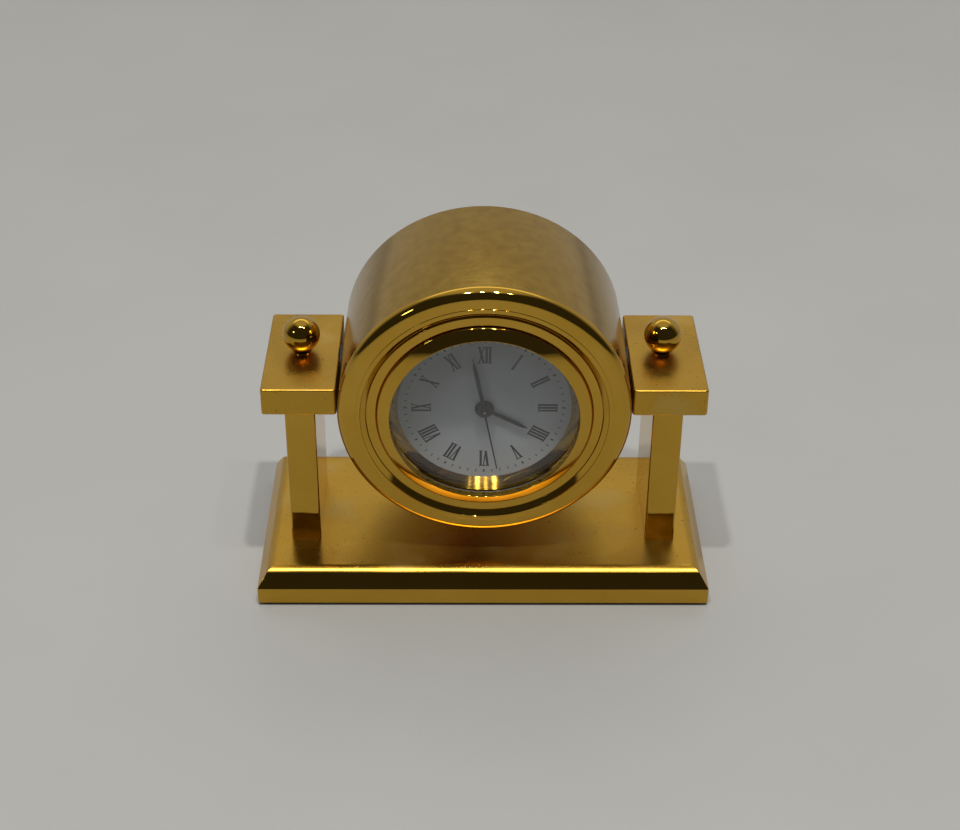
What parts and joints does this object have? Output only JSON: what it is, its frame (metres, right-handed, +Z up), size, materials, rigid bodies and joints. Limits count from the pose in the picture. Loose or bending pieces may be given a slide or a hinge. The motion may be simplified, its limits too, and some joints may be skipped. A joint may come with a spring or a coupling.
{
  "type": "tilting desk clock",
  "caption": "Miniature gilt desk clock: a drum case with a lift-out quartz insert, hung between two flat posts with ball finials on a moulded base.",
  "frame": {"origin": "centre of the felt's underside, on the table", "axes": "+Z up, +X to the right of someone who reads the dial, and the dial faces -Y"},
  "size_m": [0.0638, 0.0316, 0.0501],
  "materials": {
    "gilt_polished": "polished gold plate",
    "gilt_satin": "brushed gold plate",
    "felt": "felt",
    "steel": "turned steel",
    "movement_brass": "satin",
    "copper": "enamelled wire",
    "rubber": "matt",
    "glass": "clear",
    "dial_white": "satin white with printed hour numerals",
    "hand_black": "black",
    "black_plastic": "moulded",
    "white_plastic": "moulded",
    "board_green": "lacquered",
    "bright_steel": "bright"
  },
  "bodies": {
    "stand": {"base_plate": "gilt_polished", "base_felt": "felt", "left_post": "gilt_polished", "left_capital": "gilt_polished", "left_finial": "gilt_polished", "left_post_screw": "steel", "left_pivot_pin": "steel", "right_post": "gilt_polished", "right_capital": "gilt_polished", "right_finial": "gilt_polished", "right_post_screw": "steel", "right_pivot_pin": "steel"},
    "case": {"case_barrel": "gilt_satin", "rear_cover": "gilt_satin", "left_pivot_bush": "movement_brass", "left_friction_washer": "rubber", "right_pivot_bush": "movement_brass", "right_friction_washer": "rubber"},
    "insert": {"insert_bezel": "gilt_polished", "grip_ring": "rubber", "crystal": "glass", "crystal_gasket": "rubber", "dial_ring": "gilt_polished", "dial": "dial_white", "insert_back": "bright_steel", "movement_holder": "black_plastic", "main_plate": "movement_brass", "train_bridge": "movement_brass", "bridge_screws": "steel", "stator": "steel", "coil_core": "steel", "coil": "copper", "button_cell": "bright_steel", "battery_clamp": "steel", "circuit_board": "board_green", "quartz_can": "bright_steel"},
    "seconds": {"fourth_wheel": "white_plastic", "second_hand": "hand_black"},
    "intermediate": {"intermediate_wheel": "white_plastic"},
    "rotor": {"rotor": "black_plastic"},
    "third": {"third_wheel": "white_plastic"},
    "centre": {"centre_wheel": "movement_brass"},
    "minutes": {"cannon_pinion": "steel", "minute_hand": "hand_black"},
    "minute_wheel": {"minute_wheel": "white_plastic"},
    "hours": {"hour_wheel": "white_plastic", "hour_hand": "hand_black"},
    "setting_wheel": {"setting_wheel": "steel"},
    "slider": {"setting_slider": "steel"},
    "crown": {"stem": "steel", "crown": "gilt_polished"}
  },
  "joints": [
    {"name": "case_tilt", "type": "hinge", "parent": "stand", "child": "case", "pos_m": [0, 0, 0.03061], "axis": [1, 0, 0], "continuous": true},
    {"name": "insert_pull", "type": "slide", "parent": "case", "child": "insert", "axis": [0, -0.9986, -0.0523], "range_m": [0, 0.016]},
    {"name": "second_hand_turn", "type": "hinge", "parent": "insert", "child": "seconds", "pos_m": [0, 0.00006, 0.02946], "axis": [0, 0.9986, 0.0523], "continuous": true},
    {"name": "intermediate_turn", "type": "hinge", "parent": "insert", "child": "intermediate", "pos_m": [-0.0007, -0.00008, 0.03209], "axis": [0, 0.9986, 0.0523], "continuous": true},
    {"name": "rotor_turn", "type": "hinge", "parent": "insert", "child": "rotor", "pos_m": [0, -0.00016, 0.03361], "axis": [0, 0.9986, 0.0523], "continuous": true},
    {"name": "third_turn", "type": "hinge", "parent": "insert", "child": "third", "pos_m": [0.00192, 0.00016, 0.02754], "axis": [0, 0.9986, 0.0523], "continuous": true},
    {"name": "centre_turn", "type": "hinge", "parent": "insert", "child": "centre", "pos_m": [0, 0.00006, 0.02946], "axis": [0, 0.9986, 0.0523], "continuous": true},
    {"name": "minute_hand_turn", "type": "hinge", "parent": "insert", "child": "minutes", "pos_m": [0, 0.00006, 0.02946], "axis": [0, 0.9986, 0.0523], "continuous": true},
    {"name": "minute_wheel_turn", "type": "hinge", "parent": "insert", "child": "minute_wheel", "pos_m": [0.0022, 0.00006, 0.02946], "axis": [0, 0.9986, 0.0523], "continuous": true},
    {"name": "hour_hand_turn", "type": "hinge", "parent": "insert", "child": "hours", "pos_m": [0, 0.00006, 0.02946], "axis": [0, 0.9986, 0.0523], "continuous": true},
    {"name": "setting_wheel_turn", "type": "hinge", "parent": "insert", "child": "setting_wheel", "pos_m": [0.00477, 0.00006, 0.02946], "axis": [0, 0.9986, 0.0523], "continuous": true},
    {"name": "crown_pull", "type": "slide", "parent": "insert", "child": "slider", "axis": [1, 0, 0], "range_m": [0, 0.0006]},
    {"name": "crown_turn", "type": "hinge", "parent": "slider", "child": "crown", "pos_m": [0, -0.00608, 0.02914], "axis": [1, 0, 0], "continuous": true}
  ],
  "couplings": [
    {"joint": "intermediate_turn", "follows": "second_hand_turn", "ratio": -5},
    {"joint": "rotor_turn", "follows": "second_hand_turn", "ratio": 30},
    {"joint": "third_turn", "follows": "second_hand_turn", "ratio": -0.13333},
    {"joint": "centre_turn", "follows": "second_hand_turn", "ratio": 0.016667},
    {"joint": "minute_wheel_turn", "follows": "minute_hand_turn", "ratio": -0.33333},
    {"joint": "hour_hand_turn", "follows": "minute_hand_turn", "ratio": 0.083333},
    {"joint": "setting_wheel_turn", "follows": "minute_hand_turn", "ratio": 0.6}
  ]
}
